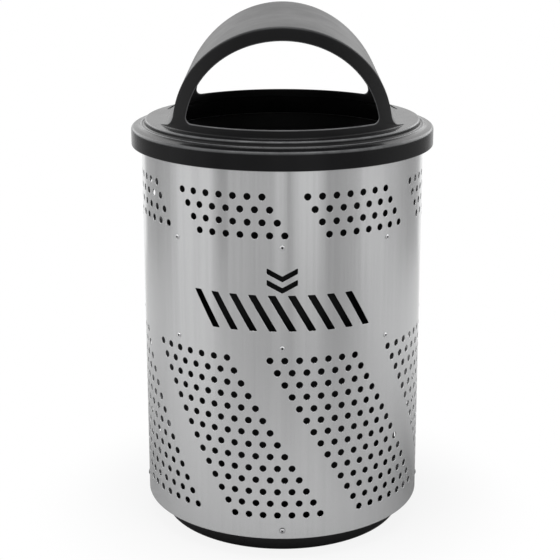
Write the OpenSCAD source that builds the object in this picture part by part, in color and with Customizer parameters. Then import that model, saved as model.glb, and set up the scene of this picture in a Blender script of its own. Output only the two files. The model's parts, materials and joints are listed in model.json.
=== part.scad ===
// Round outdoor litter bin: a perforated steel body on a low black base pan, a lift-out
// liner and a lift-off hooded lid with an arched opening at the front and at the back.
// Millimetres, +Z up, front towards -Y, origin on the floor under the centre.

/* [Body] */
// Outer radius of the body sheet, across its flats
body_r = 280; // [265:1:310]
// Height of the body sheet
body_h = 755; // [750:1:820]
// Thickness of the body sheet
sheet_t = 1.5; // [1.2:0.1:2]
// Height of the body's lower edge above the floor
body_lift = 42; // [38:1:60]

/* [Perforation] */
// Places for a hole in one full turn
turn_places = 63; // [54:9:72]
// Diameter of a hole
hole_d = 13.3; // [9:0.1:13.5]
// Height from one row of holes to the next
row_h = 24.2; // [22:0.1:25]
// Depth of the first row of holes below the body's upper edge
first_row_drop = 77; // [72:1:84]
// Places in one slanted band, with the blank ones beside it
band_places = 9; // [9:1:9]
// Holes in one row of a band
band_holes = 7; // [5:1:8]
// Rows of holes above the plain zone
upper_rows = 4; // [2:1:5]
// Rows of holes below the plain zone
lower_rows = 14; // [8:1:14]
// Rows left out for the plain zone
plain_rows = 9; // [9:1:9]
// Turn of the first hole of a band in the first row, from the front
first_hole_turn = -41.9; // [-45:0.1:-38]

/* [Cut-out pattern] */
// Slanted slots in the plain zone
slot_count = 9; // [5:2:11]
// Width of a slanted slot
slot_w = 15; // [8:0.5:18]
// Height of a slanted slot
slot_h = 70; // [40:1:76]
// Turn from one slanted slot to the next
slot_turn = 7.6; // [6:0.1:8.5]
// Lean of the slots, as the bands of holes lean
slot_lean = 30; // [0:1:32]
// Depth of the middle of the slots below the first row of holes
slot_drop = 222; // [212:1:228]
// Width of a chevron above the slots
chevron_w = 58; // [40:1:70]
// Height of a chevron's stroke
chevron_t = 11; // [6:0.5:14]
// Depth of the upper chevron's tip below the first row of holes
chevron_drop = 150; // [144:1:154]
// Height from one chevron to the next
chevron_step = 22; // [18:1:24]

/* [Frame] */
// Thickness of the hoops and of the rings' legs
hoop_t = 3; // [2:0.1:4]
// Height of a flat hoop
hoop_h = 30; // [20:1:34]
// Depth of the upper hoop's middle below the first row of holes
upper_hoop_drop = 95; // [92:1:110]
// Depth of the middle hoop's middle below the first row of holes
middle_hoop_drop = 290; // [280:1:292]
// Height of the upright leg of the top ring and of the bottom ring
ring_leg_h = 28; // [24:1:34]
// Width of the top ring's flat leg, under the liner's rim
top_leg_w = 16; // [12:1:18]
// Width of the bottom ring's flat leg, on the base pan's flange
bottom_leg_w = 30; // [26:1:34]
// Width of an upright strap
strap_w = 26; // [20:1:32]
// Thickness of an upright strap
strap_t = 3; // [2:0.1:4]
// Turn of the upright straps from the front and from the back
strap_turn = 60; // [54:1:66]

/* [Fasteners] */
// Rivets in one hoop
rivet_count = 8; // [6:1:10]
// Diameter of a rivet's shank
rivet_d = 4.8; // [4:0.1:5]
// Diameter of a rivet's head
rivet_head_d = 9; // [8:0.5:11]
// Height of a rivet's head
rivet_head_h = 1.8; // [1.4:0.1:2.4]
// Height of a rivet's tail, inside its hoop
rivet_tail_h = 3; // [2:0.5:5]
// Screws that hold the body to the bottom ring
screw_count = 4; // [3:1:6]
// Diameter of a body screw's shank
screw_d = 6; // [5:0.1:7]
// Diameter of a body screw's head
screw_head_d = 11.5; // [10:0.5:13]
// Height of a body screw's head
screw_head_h = 3.4; // [3:0.1:4]
// Depth of the cross recess in a body screw's head
screw_recess_depth = 1.6; // [1:0.1:2]
// Width of the cross recess in a body screw's head
screw_recess_w = 1.4; // [1:0.1:2]
// Length of a body screw inside the bottom ring
screw_end_l = 9; // [7:0.5:12]
// Height of a body screw's nut
screw_nut_h = 5; // [4:0.5:6]
// Height of the body screws above the body's lower edge
screw_rise = 17; // [15:1:19]
// Bolts that hold the base pan to the bottom ring
pan_bolt_count = 6; // [4:1:8]
// Diameter of a pan bolt
pan_bolt_d = 8; // [6:0.5:8]
// Height of a pan bolt's head
pan_head_h = 5; // [4:0.5:6]
// Height of a pan bolt's nut
pan_nut_h = 6; // [5:0.5:7]
// Length of a pan bolt above the bottom ring's leg
pan_end_l = 7; // [6:0.5:10]

/* [Base pan] */
// Distance of the base pan's wall in from the body sheet
pan_inset = 35; // [32:1:39]
// Wall of the base pan
pan_wall = 5; // [4:0.5:7]
// Radius of the base pan's lower edge
pan_edge_r = 7; // [4:0.5:12]
// Width of the base pan's upper flange
pan_flange_w = 26; // [24:1:28]
// Diameter of an anchor hole
anchor_d = 13; // [10:0.5:16]
// Diameter of the circle that the anchor holes lie on
anchor_circle_d = 320; // [280:1:360]
// Anchor holes
anchor_count = 4; // [3:1:6]
// Diameter of a drain hole
drain_d = 20; // [12:1:26]
// Drain holes
drain_count = 4; // [3:1:6]
// Diameter of the circle that the drain holes lie on
drain_circle_d = 220; // [160:1:240]
// Distance of the raised ring that stiffens the pan's floor in from the pan's wall
pan_bead_inset = 40; // [34:1:48]
// Width of that raised ring
pan_bead_w = 22; // [16:1:26]
// Height of that raised ring above the floor
pan_bead_h = 9; // [7:1:14]

/* [Liner] */
// Wall of the liner
liner_wall = 3.5; // [3:0.1:5]
// How much smaller the liner's radius is at its bottom than at its top
liner_taper = 27.4; // [16:0.1:38]
// Rounding of the liner's lower edge
liner_foot_r = 14; // [8:1:24]
// Height of the liner's bottom above the base pan's upper flange
liner_rise = 12; // [8:1:30]
// Thickness of the liner's rim
liner_rim_t = 5; // [4:0.5:6]
// Overhang of the liner's rim beyond the body sheet
liner_rim_over = 6; // [5:0.5:9]
// Depth of the liner's down-turned lip
liner_lip_h = 12; // [8:1:16]
// Width of a hand slot in the liner
grip_w = 110; // [90:1:130]
// Height of a hand slot in the liner
grip_h = 28; // [22:1:32]
// Depth of the hand slots' middle below the rim
grip_drop = 46; // [42:1:60]
// Height of a stiffening bead round the liner
liner_bead_h = 16; // [10:1:24]
// Depth of a stiffening bead round the liner
liner_bead_d = 4; // [2:0.5:5]

/* [Lid] */
// Wall of the lid
lid_wall = 5; // [4:0.5:6]
// Overhang of the lid's skirt beyond the body sheet
lid_over = 20; // [17:0.5:24]
// Height of the lid's skirt
skirt_h = 36; // [30:1:42]
// Rounding of the skirt's upper edge
skirt_edge_r = 6; // [5:0.5:8]
// Rise of the flange from the skirt to the raised ring
flange_rise = 4; // [2:0.5:6]
// Outer radius of the raised ring, inwards from the body sheet
ring_inset = 7; // [5:0.5:9]
// Height of the raised ring above the flange
ring_h = 10; // [8:0.5:14]
// Rounding of the raised ring's upper edge
ring_edge_r = 4; // [2:0.5:5]
// Distance of the flange's bead from the raised ring
flange_bead_gap = 7; // [5:0.5:9]
// Radius of that bead
flange_bead_r = 2.5; // [1.5:0.5:3]
// Distance from the raised ring's edge to the hood's end faces
hood_inset = 21; // [18:0.5:26]
// Distance of the hood's arched back in from the round ends
hood_arch_inset = 43; // [40:1:54]
// Depth of the arch's centre below the raised ring
arch_centre_drop = 4.5; // [0:0.5:8]
// Width of the face round the arched opening
hood_face_w = 26; // [20:1:32]
// Height of the opening's sill above the raised ring
sill_h = 17; // [12:1:24]
// Rounding of the opening's lower corners
sill_corner_r = 10; // [6:1:14]
// Radius of the fillet from the hood down to the raised ring
hood_fillet_r = 30; // [18:1:32]
// Radius of the lid's locating wall, inwards from the liner's inner wall
spigot_inset = 6; // [4.5:0.5:8]
// Depth of the lid's locating wall below its seat
spigot_h = 16; // [10:1:24]

/* [Cutting] */
// How far a cut runs on past the piece that it cuts
cut_over = 4; // [3:0.5:6]

/* [Fits] */
// Clearance between pieces of one body that lie against each other
seat_gap = 0.1; // [0.05:0.01:0.2]
// Clearance between pieces that lift apart
lift_gap = 0.3; // [0.2:0.05:0.6]
// Clearance of a shank in its hole
shank_gap = 0.1; // [0.05:0.01:0.2]

/* [Hidden] */
$fn = 96;

// Hidden lap of forms that are joined into one piece
lap = 1;

// Perforation: one flat of the body sheet for each half place
half_places = 2 * turn_places;
half_turn = 360 / half_places;
corner_k = 1 / cos(half_turn / 2);
body_top = body_lift + body_h;
first_row_z = body_top - first_row_drop;
row_count = upper_rows + plain_rows + lower_rows;

// Frame, from the sheet inwards
inner_r = body_r - sheet_t;
hoop_r = inner_r - seat_gap;
hoop_inner_r = hoop_r - hoop_t;
upper_hoop_z = first_row_z - upper_hoop_drop;
middle_hoop_z = first_row_z - middle_hoop_drop;
flange_top = body_lift + 2;
screw_z = body_lift + screw_rise;
head_seat_r = body_r * corner_k + seat_gap;

// Base pan
pan_r = body_r - pan_inset;
pan_bead_r = pan_r - pan_bead_inset;
pan_bolt_r = (hoop_r - bottom_leg_w + pan_r + pan_flange_w) / 2;

// Liner
rim_z = body_top + seat_gap;
rim_top = rim_z + liner_rim_t;
throat_r = hoop_r - top_leg_w;
liner_top_r = throat_r - 3;
liner_bottom_r = liner_top_r - liner_taper;
liner_bottom_z = flange_top + pan_wall + liner_rise;

// Lid, from its seat on the liner's rim upwards
lid_seat = rim_top + lift_gap;
skirt_r = body_r + lid_over;
flange_z = lid_seat + lid_wall;
skirt_z = flange_z - skirt_h;
ring_r = body_r - ring_inset;
ring_foot_z = flange_z + flange_rise;
ring_z = ring_foot_z + ring_h;
hood_r = ring_r - hood_inset;
hood_arch_r = hood_r - hood_arch_inset;
arch_z = ring_z - arch_centre_drop;
opening_r = hood_arch_r - hood_face_w;
sill_z = ring_z + sill_h;
spigot_r = liner_top_r - liner_wall - spigot_inset;

// Turn of one of count fasteners about the body
function fastener_turn(k, count) = k * 360 / count;

// Puts children on the body at a turn from the front, radius outwards along +Z of the child
module on_body(turn, z) {
    rotate([0, 0, turn - 90])
        translate([0, 0, z])
            rotate([0, 90, 0])
                children();
}

// A round bar along the radius, from one radius to another
module radial_bar(turn, z, from_r, to_r, d) {
    on_body(turn, z)
        translate([0, 0, from_r])
            cylinder(d = d, h = to_r - from_r, $fn = 32);
}

// Flat sided outline of the body sheet, one flat centred on each half place
module sheet_outline(r) {
    rotate(first_hole_turn - 90)
        polygon([
            for (k = [0 : half_places - 1])
                r * corner_k * [cos((k + 0.5) * half_turn), sin((k + 0.5) * half_turn)]
        ]);
}

// All round holes of the slanted bands
module band_cuts() {
    for (row = [0 : row_count - 1])
        if (row < upper_rows || row >= upper_rows + plain_rows)
            for (place = [0 : turn_places - 1])
                if (place % band_places < band_holes)
                    on_body(first_hole_turn + (2 * place + row) * half_turn, first_row_z - row * row_h)
                        translate([0, 0, inner_r - cut_over])
                            cylinder(d = hole_d, h = sheet_t + 2 * cut_over, $fn = 24);
}

// Slanted slots in the plain zone
module slot_cuts() {
    lean = slot_h / 2 * tan(slot_lean);
    for (k = [0 : slot_count - 1])
        on_body((k - (slot_count - 1) / 2) * slot_turn, first_row_z - slot_drop)
            translate([0, 0, inner_r - 2 * cut_over])
                linear_extrude(sheet_t + 4 * cut_over)
                    polygon([
                        [-slot_h / 2, -lean - slot_w / 2],
                        [-slot_h / 2, -lean + slot_w / 2],
                        [slot_h / 2, lean + slot_w / 2],
                        [slot_h / 2, lean - slot_w / 2]
                    ]);
}

// Two chevrons that point down, above the slots
module chevron_cuts() {
    half = chevron_w / 2;
    for (k = [0, 1])
        on_body(0, first_row_z - chevron_drop - k * chevron_step + half * 0.55)
            translate([0, 0, inner_r - 2 * cut_over])
                linear_extrude(sheet_t + 4 * cut_over)
                    polygon([
                        [0, -half],
                        [half * 0.55, 0],
                        [0, half],
                        [chevron_t, half],
                        [half * 0.55 + chevron_t, 0],
                        [chevron_t, -half]
                    ]);
}

// Holes for the rivets of a hoop
module rivet_holes(z) {
    for (k = [0 : rivet_count - 1])
        radial_bar(
            fastener_turn(k, rivet_count), z, hoop_inner_r - cut_over, body_r + cut_over,
            rivet_d + 2 * shank_gap
        );
}

// Holes for the body screws
module screw_holes() {
    for (k = [0 : screw_count - 1])
        radial_bar(
            fastener_turn(k, screw_count), screw_z, hoop_inner_r - cut_over, body_r + cut_over,
            screw_d + 2 * shank_gap
        );
}

// Perforated body sheet, rolled to a tube
module body_shell() {
    color("silver")
        difference() {
            translate([0, 0, body_lift])
                linear_extrude(body_h)
                    difference() {
                        sheet_outline(body_r);
                        sheet_outline(inner_r);
                    }
            band_cuts();
            slot_cuts();
            chevron_cuts();
            rivet_holes(upper_hoop_z);
            rivet_holes(middle_hoop_z);
            screw_holes();
        }
}

// Angle ring inside the sheet's upper edge, which carries the liner's rim
module top_ring() {
    color("gray")
        rotate_extrude()
            polygon([
                [hoop_inner_r, body_top - ring_leg_h],
                [hoop_r, body_top - ring_leg_h],
                [hoop_r, body_top],
                [throat_r, body_top],
                [throat_r, body_top - hoop_t],
                [hoop_inner_r, body_top - hoop_t]
            ]);
}

// Flat hoop inside the sheet
module flat_hoop(z) {
    difference() {
        translate([0, 0, z - hoop_h / 2]) cylinder(r = hoop_r, h = hoop_h);
        translate([0, 0, z - hoop_h]) cylinder(r = hoop_inner_r, h = 2 * hoop_h);
        rivet_holes(z);
    }
}

module upper_hoop() {
    color("gray") flat_hoop(upper_hoop_z);
}

module middle_hoop() {
    color("gray") flat_hoop(middle_hoop_z);
}

// Angle ring inside the sheet's lower edge, which stands on the base pan
module bottom_ring() {
    color("gray")
        difference() {
            rotate_extrude()
                polygon([
                    [hoop_r - bottom_leg_w, flange_top],
                    [hoop_r, flange_top],
                    [hoop_r, flange_top + ring_leg_h],
                    [hoop_inner_r, flange_top + ring_leg_h],
                    [hoop_inner_r, flange_top + hoop_t],
                    [hoop_r - bottom_leg_w, flange_top + hoop_t]
                ]);
            screw_holes();
            pan_bolt_holes();
        }
}

// Flat straps inside the hoops, from the bottom ring to the top ring
module upright_straps() {
    strap_r = sqrt(pow(hoop_inner_r, 2) - pow(strap_w / 2, 2)) - seat_gap;
    strap_z = flange_top + hoop_t;
    color("lightgray")
        for (turn = [-strap_turn, strap_turn, 180 - strap_turn, 180 + strap_turn])
            rotate([0, 0, turn - 90])
                translate([strap_r - strap_t, -strap_w / 2, strap_z])
                    cube([strap_t, strap_w, body_top - hoop_t - strap_z]);
}

// Domed blind rivets of a hoop
module hoop_rivets(z) {
    dome_r = (pow(rivet_head_d / 2, 2) + pow(rivet_head_h, 2)) / (2 * rivet_head_h);
    for (k = [0 : rivet_count - 1])
        on_body(fastener_turn(k, rivet_count), z) {
            translate([0, 0, hoop_inner_r - rivet_tail_h])
                cylinder(d = rivet_d, h = head_seat_r - hoop_inner_r + rivet_tail_h + rivet_head_h / 2, $fn = 32);
            translate([0, 0, hoop_inner_r - rivet_tail_h - seat_gap])
                cylinder(d = 1.4 * rivet_d, h = rivet_tail_h, $fn = 32);
            intersection() {
                translate([0, 0, head_seat_r + rivet_head_h - dome_r])
                    sphere(r = dome_r, $fn = 48);
                translate([0, 0, head_seat_r])
                    cylinder(d = rivet_head_d + 1, h = rivet_head_h + 1, $fn = 48);
            }
        }
}

module upper_rivets() {
    color("silver") hoop_rivets(upper_hoop_z);
}

module middle_rivets() {
    color("silver") hoop_rivets(middle_hoop_z);
}

// Pan head screws through the sheet and the bottom ring
module body_screws() {
    head_r = screw_head_d / 2;
    color("silver")
        for (k = [0 : screw_count - 1])
            on_body(fastener_turn(k, screw_count), screw_z)
                difference() {
                    union() {
                        translate([0, 0, hoop_inner_r - screw_end_l])
                            cylinder(d = screw_d, h = head_seat_r - hoop_inner_r + screw_end_l + lap, $fn = 32);
                        translate([0, 0, head_seat_r])
                            rotate_extrude($fn = 48)
                                intersection() {
                                    square([head_r, screw_head_h]);
                                    translate([0, screw_head_h - 1.6 * head_r]) circle(r = 1.6 * head_r);
                                }
                    }
                    for (a = [45, 135])
                        rotate([0, 0, a])
                            translate([
                                -head_r * 0.55, -screw_recess_w / 2, head_seat_r + screw_head_h - screw_recess_depth
                            ])
                                cube([head_r * 1.1, screw_recess_w, screw_recess_depth + cut_over]);
                }
}

// Hexagon nut, by its corner radius, height and bore
module hex_nut(corner_r, height, bore_d) {
    difference() {
        cylinder(r = corner_r, h = height, $fn = 6);
        translate([0, 0, -cut_over]) cylinder(d = bore_d, h = height + 2 * cut_over, $fn = 32);
    }
}

// Hexagon nuts of the body screws, inside the bottom ring
module screw_nuts() {
    color("gray")
        for (k = [0 : screw_count - 1])
            on_body(fastener_turn(k, screw_count), screw_z)
                translate([0, 0, hoop_inner_r - screw_nut_h - seat_gap])
                    hex_nut(0.98 * screw_d, screw_nut_h, screw_d + 2 * shank_gap);
}

// Puts a child on the axis of each pan bolt
module at_pan_bolts() {
    for (k = [0 : pan_bolt_count - 1])
        rotate([0, 0, (k + 0.5) * 360 / pan_bolt_count - 90])
            translate([pan_bolt_r, 0, 0])
                children();
}

// Holes for the pan bolts through the bottom ring and the pan's flange
module pan_bolt_holes() {
    at_pan_bolts()
        translate([0, 0, flange_top - hoop_t - cut_over])
            cylinder(d = pan_bolt_d + 2 * shank_gap, h = 2 * (hoop_t + cut_over), $fn = 32);
}

// Outline of the base pan's section, from the centre outwards
module pan_section() {
    flange_z = flange_top - seat_gap;
    bead_inner_r = pan_bead_r - pan_bead_w;
    difference() {
        union() {
            square([pan_r - pan_edge_r, pan_edge_r]);
            translate([pan_r - pan_edge_r, pan_edge_r]) circle(r = pan_edge_r);
            translate([pan_r - pan_wall, pan_edge_r]) square([pan_wall, flange_z - pan_edge_r]);
            translate([pan_r - pan_wall, flange_z - hoop_t]) square([pan_wall + pan_flange_w, hoop_t]);
            translate([bead_inner_r - pan_wall, 0]) square([pan_bead_w + 2 * pan_wall, pan_bead_h + pan_wall]);
        }
        // Hollow above the floor, outside the raised ring
        translate([pan_bead_r + pan_wall, pan_wall]) square([pan_r - pan_bead_r - 2 * pan_wall, flange_top]);
        // Hollow above the floor, inside the raised ring
        translate([0, pan_wall]) square([bead_inner_r - pan_wall, flange_top]);
        // Groove under the raised ring
        translate([bead_inner_r, -cut_over]) square([pan_bead_w, pan_bead_h + cut_over]);
    }
}

// Black base pan with drains and anchor holes in its floor
module base_pan() {
    color([0.06, 0.06, 0.065])
        difference() {
            rotate_extrude() pan_section();
            pan_bolt_holes();
            for (k = [0 : anchor_count - 1])
                rotate([0, 0, (k + 0.5) * 360 / anchor_count])
                    translate([anchor_circle_d / 2, 0, -cut_over])
                        cylinder(d = anchor_d, h = pan_wall + 2 * cut_over, $fn = 48);
            for (k = [0 : drain_count - 1])
                rotate([0, 0, k * 360 / drain_count])
                    translate([drain_circle_d / 2, 0, -cut_over])
                        cylinder(d = drain_d, h = pan_wall + 2 * cut_over, $fn = 48);
        }
}

// Hexagon bolts under the pan's flange
module pan_bolts() {
    head_z = flange_top - hoop_t - 2 * seat_gap;
    color("gray")
        at_pan_bolts() {
            translate([0, 0, head_z - pan_head_h])
                cylinder(r = 0.94 * pan_bolt_d, h = pan_head_h, $fn = 6);
            translate([0, 0, head_z - lap])
                cylinder(d = pan_bolt_d, h = flange_top + hoop_t + pan_end_l - head_z + lap, $fn = 32);
        }
}

// Hexagon nuts on the bottom ring's flat leg
module pan_nuts() {
    color("gray")
        at_pan_bolts()
            translate([0, 0, flange_top + hoop_t + seat_gap])
                hex_nut(0.94 * pan_bolt_d, pan_nut_h, pan_bolt_d + 2 * shank_gap);
}

// Outer radius of the liner's tapered wall at a height
function liner_r(z) = liner_bottom_r + (liner_top_r - liner_bottom_r) * (z - liner_bottom_z) / (rim_z - liner_bottom_z);

// Outline of the liner's section; inset moves it inwards by the wall
module liner_outline(inset) {
    bead_zs = [for (share = [0.35, 0.68]) liner_bottom_z + share * (rim_z - liner_bottom_z)];
    points = concat(
        [[0, liner_bottom_z + inset]],
        [for (a = [-90 : 22.5 : 0]) [
            liner_bottom_r - liner_foot_r + (liner_foot_r - inset) * cos(a),
            liner_bottom_z + liner_foot_r + (liner_foot_r - inset) * sin(a)
        ]],
        [for (z = bead_zs) each [
            [liner_r(z - liner_bead_h) - inset, z - liner_bead_h],
            [liner_r(z) - liner_bead_d - inset, z - liner_bead_h / 2],
            [liner_r(z) - liner_bead_d - inset, z + liner_bead_h / 2],
            [liner_r(z + liner_bead_h) - inset, z + liner_bead_h]
        ]],
        [[liner_top_r - inset, rim_top + inset], [0, rim_top + inset]]
    );
    polygon(points);
}

// Rigid liner that hangs by its rim on the top ring, with two hand slots
module liner() {
    rim_r = body_r + liner_rim_over;
    color([0.03, 0.03, 0.03])
        difference() {
            rotate_extrude()
                difference() {
                    union() {
                        liner_outline(0);
                        translate([0, rim_z]) square([rim_r, liner_rim_t]);
                        translate([rim_r - liner_wall, rim_top - liner_lip_h])
                            square([liner_wall, liner_lip_h]);
                    }
                    liner_outline(liner_wall);
                }
            for (side = [-1, 1])
                translate([side * liner_top_r, 0, rim_top - grip_drop])
                    cube([4 * liner_foot_r, grip_w, grip_h], center = true);
        }
}

// Arched section of the hood, seen from the front, taken in by inset
module hood_section(inset) {
    arch_r = hood_arch_r - inset;
    fillet_r = hood_fillet_r + inset;
    foot_z = ring_z - inset - lap;
    fillet_z = ring_z + hood_fillet_r;
    fillet_x = sqrt(pow(hood_arch_r + hood_fillet_r, 2) - pow(fillet_z - arch_z, 2));
    intersection() {
        translate([-hood_r * 2, foot_z]) square([hood_r * 4, hood_r * 4]);
        union() {
            translate([0, arch_z]) circle(r = arch_r, $fn = 128);
            for (side = [-1, 1])
                difference() {
                    polygon([
                        [0, foot_z],
                        [side * fillet_x, foot_z],
                        [side * fillet_x, fillet_z],
                        [0, arch_z]
                    ]);
                    translate([side * fillet_x, fillet_z]) circle(r = fillet_r);
                }
        }
    }
}

// Round ended body that the arched section is cut to
module hood_solid(inset) {
    intersection() {
        rotate([90, 0, 0])
            linear_extrude(3 * hood_r, center = true)
                hood_section(inset);
        translate([0, 0, ring_z - 2 * inset - lap]) cylinder(r = hood_r - inset, h = 2 * hood_r, $fn = 128);
    }
}

// Outline of the arched opening, with rounded lower corners
module opening_section() {
    corner_z = sill_z + sill_corner_r;
    corner_x = sqrt(pow(opening_r - sill_corner_r, 2) - pow(corner_z - arch_z, 2));
    translate([0, arch_z])
        intersection() {
            circle(r = opening_r, $fn = 128);
            translate([-opening_r, corner_z - arch_z]) square([2 * opening_r, opening_r]);
        }
    for (side = [-1, 1])
        translate([side * corner_x, corner_z]) circle(r = sill_corner_r, $fn = 48);
    translate([-corner_x, sill_z]) square([2 * corner_x, 2 * sill_corner_r]);
}

// Outer outline of the lid's round rim, from the centre outwards
module rim_outline() {
    union() {
        difference() {
            translate([0, skirt_z]) square([skirt_r, flange_z - skirt_z]);
            translate([skirt_r - skirt_edge_r, flange_z - skirt_edge_r]) square(2 * skirt_edge_r);
        }
        translate([skirt_r - skirt_edge_r, flange_z - skirt_edge_r]) circle(r = skirt_edge_r, $fn = 48);
        polygon([
            [0, flange_z - lap],
            [skirt_r - skirt_edge_r, flange_z - lap],
            [skirt_r - skirt_edge_r, flange_z],
            [ring_r, ring_foot_z],
            [0, ring_foot_z]
        ]);
        translate([ring_r + flange_bead_gap, ring_foot_z - lap]) circle(r = flange_bead_r, $fn = 32);
        raised_ring_outline();
    }
}

// Raised ring that the hood stands on, with a rounded upper edge
module raised_ring_outline() {
    translate([0, ring_foot_z - lap]) square([ring_r, ring_h - ring_edge_r + lap]);
    translate([0, ring_foot_z]) square([ring_r - ring_edge_r, ring_h]);
    translate([ring_r - ring_edge_r, ring_z - ring_edge_r]) circle(r = ring_edge_r, $fn = 32);
}

// Hollow under the rim, which leaves the wall, the seat and the locating wall
module rim_hollow() {
    cut_z = skirt_z - cut_over;
    // Over the liner's rim
    translate([spigot_r, cut_z]) square([skirt_r - lid_wall - spigot_r, lid_seat - cut_z]);
    // Inside the locating wall
    translate([0, cut_z]) square([spigot_r - lid_wall, ring_z - lid_wall - cut_z]);
    // Under the locating wall
    translate([0, cut_z]) square([spigot_r + lap, lid_seat - spigot_h - cut_z]);
    // Under the raised ring, outside the locating wall
    translate([spigot_r, lid_seat - lap])
        square([ring_r - lid_wall - spigot_r, ring_z - lid_wall - lid_seat + lap]);
}

// Hooded lid, one hollow moulding
module lid() {
    color([0.13, 0.13, 0.14])
        difference() {
            union() {
                rotate_extrude($fn = 128) rim_outline();
                hood_solid(0);
            }
            rotate_extrude($fn = 128) rim_hollow();
            hood_solid(lid_wall);
            rotate([90, 0, 0])
                linear_extrude(3 * hood_r, center = true)
                    opening_section();
        }
}

body_shell();
top_ring();
upper_hoop();
middle_hoop();
bottom_ring();
upright_straps();
upper_rivets();
middle_rivets();
body_screws();
screw_nuts();
base_pan();
pan_bolts();
pan_nuts();
liner();
lid();
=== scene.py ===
"""Looks of the round outdoor litter bin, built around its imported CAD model.

Metres, +Z up, front towards -Y.
"""
import bpy
import bmesh
import json
import math
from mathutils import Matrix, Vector
from mathutils.geometry import delaunay_2d_cdt


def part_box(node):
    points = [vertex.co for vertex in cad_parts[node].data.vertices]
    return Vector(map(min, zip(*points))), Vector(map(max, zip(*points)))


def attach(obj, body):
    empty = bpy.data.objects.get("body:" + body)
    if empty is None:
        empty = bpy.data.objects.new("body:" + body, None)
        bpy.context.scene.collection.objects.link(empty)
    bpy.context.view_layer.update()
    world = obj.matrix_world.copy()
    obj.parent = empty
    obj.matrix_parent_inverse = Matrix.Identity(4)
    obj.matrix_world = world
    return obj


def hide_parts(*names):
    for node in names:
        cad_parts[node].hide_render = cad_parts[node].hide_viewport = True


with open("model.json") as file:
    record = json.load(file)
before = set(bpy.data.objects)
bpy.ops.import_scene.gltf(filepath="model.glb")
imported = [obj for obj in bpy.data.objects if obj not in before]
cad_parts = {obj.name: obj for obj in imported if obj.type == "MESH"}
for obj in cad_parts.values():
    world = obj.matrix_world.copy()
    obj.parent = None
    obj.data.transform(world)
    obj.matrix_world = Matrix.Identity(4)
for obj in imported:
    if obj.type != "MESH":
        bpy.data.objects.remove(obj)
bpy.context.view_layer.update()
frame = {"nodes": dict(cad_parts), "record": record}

# Sizes that the frame gives
SHELL_LO, SHELL_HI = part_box("body_shell")
LID_LO, LID_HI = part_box("lid")
BODY_BOTTOM, BODY_TOP = SHELL_LO.z, SHELL_HI.z

# The body's sheet and its perforation
BODY_R = 0.280
SHEET_T = 0.0015
TURN_PLACES = 63
HALF_TURN = math.pi / TURN_PLACES
HALF_PLACE = BODY_R * HALF_TURN
FIRST_HOLE_TURN = math.radians(-41.9)
FIRST_ROW_Z = BODY_TOP - 0.077
ROW_H = 0.0242
HOLE_R = 0.00665
BAND_PLACES = 9
BAND_HOLES = 7
UPPER_ROWS = 4
PLAIN_ROWS = 9
LOWER_ROWS = 14
ROWS = UPPER_ROWS + PLAIN_ROWS + LOWER_ROWS
EDGE_R = 0.0004          # rounding of the punched and cut edges
QUARTERS = 4             # mesh columns in half a place
COLUMNS = 2 * TURN_PLACES * QUARTERS
TOP_BANDS = 6            # mesh rows above the first row of holes
FOOT_BANDS = 4           # mesh rows below the last one

# Cut-outs in the plain zone
SLOT_COUNT = 9
SLOT_W = 0.015
SLOT_H = 0.070
SLOT_TURN = math.radians(7.6)
SLOT_LEAN = math.radians(30)
SLOT_Z = FIRST_ROW_Z - 0.222
CHEVRON_W = 0.058
CHEVRON_T = 0.011
CHEVRON_FALL = 0.55      # fall of a chevron's arm for each unit of its width
CHEVRON_Z = FIRST_ROW_Z - 0.150
CHEVRON_STEP = 0.022
CORNER_R = 0.0014
CORNER_STEPS = 4
OUTLINE_STEP = 0.003
PANEL_PLACES = (-2, 31)  # between these places the plain zone's mesh is cut by the slots and chevrons
PANEL_MARGIN = 0.0016    # how far that mesh's inner points stay from a cut

# Rivets
RIVET_COUNT = 8
HOOP_ZS = {"upper_rivets": FIRST_ROW_Z - 0.095, "middle_rivets": FIRST_ROW_Z - 0.290}

# Lid
LID_WALL = 0.005
SKIRT_R = LID_HI.x
SKIRT_Z = LID_LO.z
FLANGE_Z = SKIRT_Z + 0.036
SKIRT_EDGE_R = 0.006
RING_R = 0.273
RING_FOOT_Z = FLANGE_Z + 0.004
RING_Z = RING_FOOT_Z + 0.010
RING_EDGE_R = 0.004
BEAD_R = 0.0025
BEAD_CENTRE_R = RING_R + 0.007
BEAD_CENTRE_Z = RING_FOOT_Z - 0.0012
HOOD_R = 0.252
ARCH_Z = RING_Z - 0.0045
ARCH_R = 0.209
FILLET_R = 0.030
OPENING_R = 0.183
SILL_Z = RING_Z + 0.017
SILL_CORNER_R = 0.010
SPIGOT_R = 0.2499
LID_SEAT_Z = FLANGE_Z - LID_WALL
SPIGOT_H = 0.016

# Camera, as the photograph's perspective asks for it
FRAME_PX = 560
FOCAL_PX = 1422.1
OPTICAL_PX = (282.3, 232.0)
CAMERA_DISTANCE = 2.80
CAMERA_HEIGHT = 1.300
CAMERA_PITCH = math.radians(14.353)
SENSOR_W = 36.0
CLIP_END = 100.0


# Materials

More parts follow.
